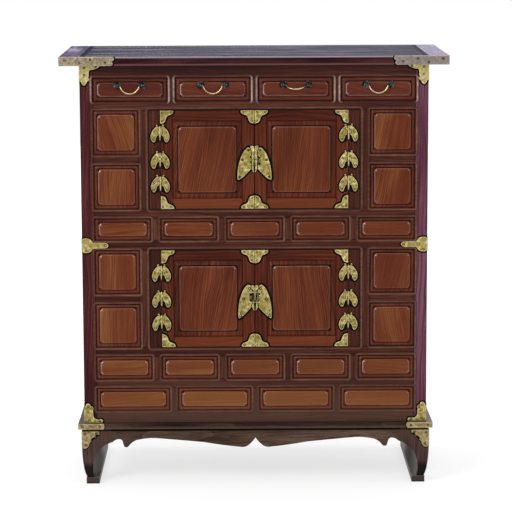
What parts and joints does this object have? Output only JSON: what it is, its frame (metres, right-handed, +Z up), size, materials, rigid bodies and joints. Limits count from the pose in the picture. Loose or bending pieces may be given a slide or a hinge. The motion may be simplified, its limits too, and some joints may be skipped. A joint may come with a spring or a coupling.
{
  "type": "korean two tier chest",
  "caption": "Two tier wooden chest on a cabriole stand, with brass mounted doors in each tier and drawers with drop handles under an overhanging top.",
  "frame": {"origin": "on the floor, under the middle of the top board", "axes": "+Z up, the front with the doors faces -Y, +X to the right seen from the front"},
  "size_m": [1.1156, 0.5046, 1.256],
  "materials": {
    "frame_wood": "dark purple-brown lacquered frame",
    "panel_wood": "figured red-brown lacquered panel",
    "top_wood": "dark slate-purple glossy top",
    "stand_wood": "dark brown lacquered stand",
    "inner_wood": "plain light wood, unlacquered",
    "brass": "aged yellow-olive brass",
    "iron": "blackened iron"
  },
  "bodies": {
    "carcass": {"stand_board": "stand_wood", "stand_legs": "stand_wood", "stand_aprons": "stand_wood", "stand_runners": "stand_wood", "corner_posts": "frame_wood", "front_rails": "frame_wood", "front_muntins": "frame_wood", "tier_frames": "frame_wood", "square_panels": "panel_wood", "row_panels": "panel_wood", "side_rails": "frame_wood", "side_panels": "panel_wood", "back_frame": "frame_wood", "back_panels": "inner_wood", "drawer_deck": "inner_wood", "middle_shelf": "inner_wood", "bottom_board": "inner_wood", "door_stops": "inner_wood", "top_boards": "top_wood", "top_end_boards": "top_wood", "body_brasses": "brass", "frame_hinges": "brass", "frame_nails": "iron"},
    "door_lower_left": {"door_frame_lower_left": "frame_wood", "door_panel_lower_left": "panel_wood", "door_plates_lower_left": "brass", "door_nails_lower_left": "iron", "door_hinges_lower_left": "brass"},
    "door_lower_right": {"door_frame_lower_right": "frame_wood", "door_panel_lower_right": "panel_wood", "door_plates_lower_right": "brass", "door_nails_lower_right": "iron", "door_hinges_lower_right": "brass"},
    "door_upper_left": {"door_frame_upper_left": "frame_wood", "door_panel_upper_left": "panel_wood", "door_plates_upper_left": "brass", "door_nails_upper_left": "iron", "door_hinges_upper_left": "brass"},
    "door_upper_right": {"door_frame_upper_right": "frame_wood", "door_panel_upper_right": "panel_wood", "door_plates_upper_right": "brass", "door_nails_upper_right": "iron", "door_hinges_upper_right": "brass"},
    "drawer_1": {"drawer_front_1": "panel_wood", "drawer_box_1": "inner_wood", "pull_mounts_1": "iron"},
    "bail_1": {"bail_1": "brass"},
    "drawer_2": {"drawer_front_2": "panel_wood", "drawer_box_2": "inner_wood", "pull_mounts_2": "iron"},
    "bail_2": {"bail_2": "brass"},
    "drawer_3": {"drawer_front_3": "panel_wood", "drawer_box_3": "inner_wood", "pull_mounts_3": "iron"},
    "bail_3": {"bail_3": "brass"},
    "drawer_4": {"drawer_front_4": "panel_wood", "drawer_box_4": "inner_wood", "pull_mounts_4": "iron"},
    "bail_4": {"bail_4": "brass"}
  },
  "joints": [
    {"name": "door_lower_left_hinge", "type": "hinge", "parent": "carcass", "child": "door_lower_left", "pos_m": [-0.271, -0.223, 0.551], "axis": [0, 0, -1], "range_deg": [0, 170]},
    {"name": "door_lower_right_hinge", "type": "hinge", "parent": "carcass", "child": "door_lower_right", "pos_m": [0.271, -0.223, 0.551], "axis": [0, 0, 1], "range_deg": [0, 170]},
    {"name": "door_upper_left_hinge", "type": "hinge", "parent": "carcass", "child": "door_upper_left", "pos_m": [-0.271, -0.223, 0.957], "axis": [0, 0, -1], "range_deg": [0, 170]},
    {"name": "door_upper_right_hinge", "type": "hinge", "parent": "carcass", "child": "door_upper_right", "pos_m": [0.271, -0.223, 0.957], "axis": [0, 0, 1], "range_deg": [0, 170]},
    {"name": "drawer_1_slide", "type": "slide", "parent": "carcass", "child": "drawer_1", "axis": [0, -1, 0], "range_m": [0, 0.3]},
    {"name": "bail_1_swing", "type": "hinge", "parent": "drawer_1", "child": "bail_1", "pos_m": [-0.35625, -0.228, 1.1722], "axis": [-1, 0, 0], "range_deg": [-12, 150]},
    {"name": "drawer_2_slide", "type": "slide", "parent": "carcass", "child": "drawer_2", "axis": [0, -1, 0], "range_m": [0, 0.3]},
    {"name": "bail_2_swing", "type": "hinge", "parent": "drawer_2", "child": "bail_2", "pos_m": [-0.11875, -0.228, 1.1722], "axis": [-1, 0, 0], "range_deg": [-12, 150]},
    {"name": "drawer_3_slide", "type": "slide", "parent": "carcass", "child": "drawer_3", "axis": [0, -1, 0], "range_m": [0, 0.3]},
    {"name": "bail_3_swing", "type": "hinge", "parent": "drawer_3", "child": "bail_3", "pos_m": [0.11875, -0.228, 1.1722], "axis": [-1, 0, 0], "range_deg": [-76, 86]},
    {"name": "drawer_4_slide", "type": "slide", "parent": "carcass", "child": "drawer_4", "axis": [0, -1, 0], "range_m": [0, 0.3]},
    {"name": "bail_4_swing", "type": "hinge", "parent": "drawer_4", "child": "bail_4", "pos_m": [0.35625, -0.228, 1.1722], "axis": [-1, 0, 0], "range_deg": [-12, 150]}
  ]
}
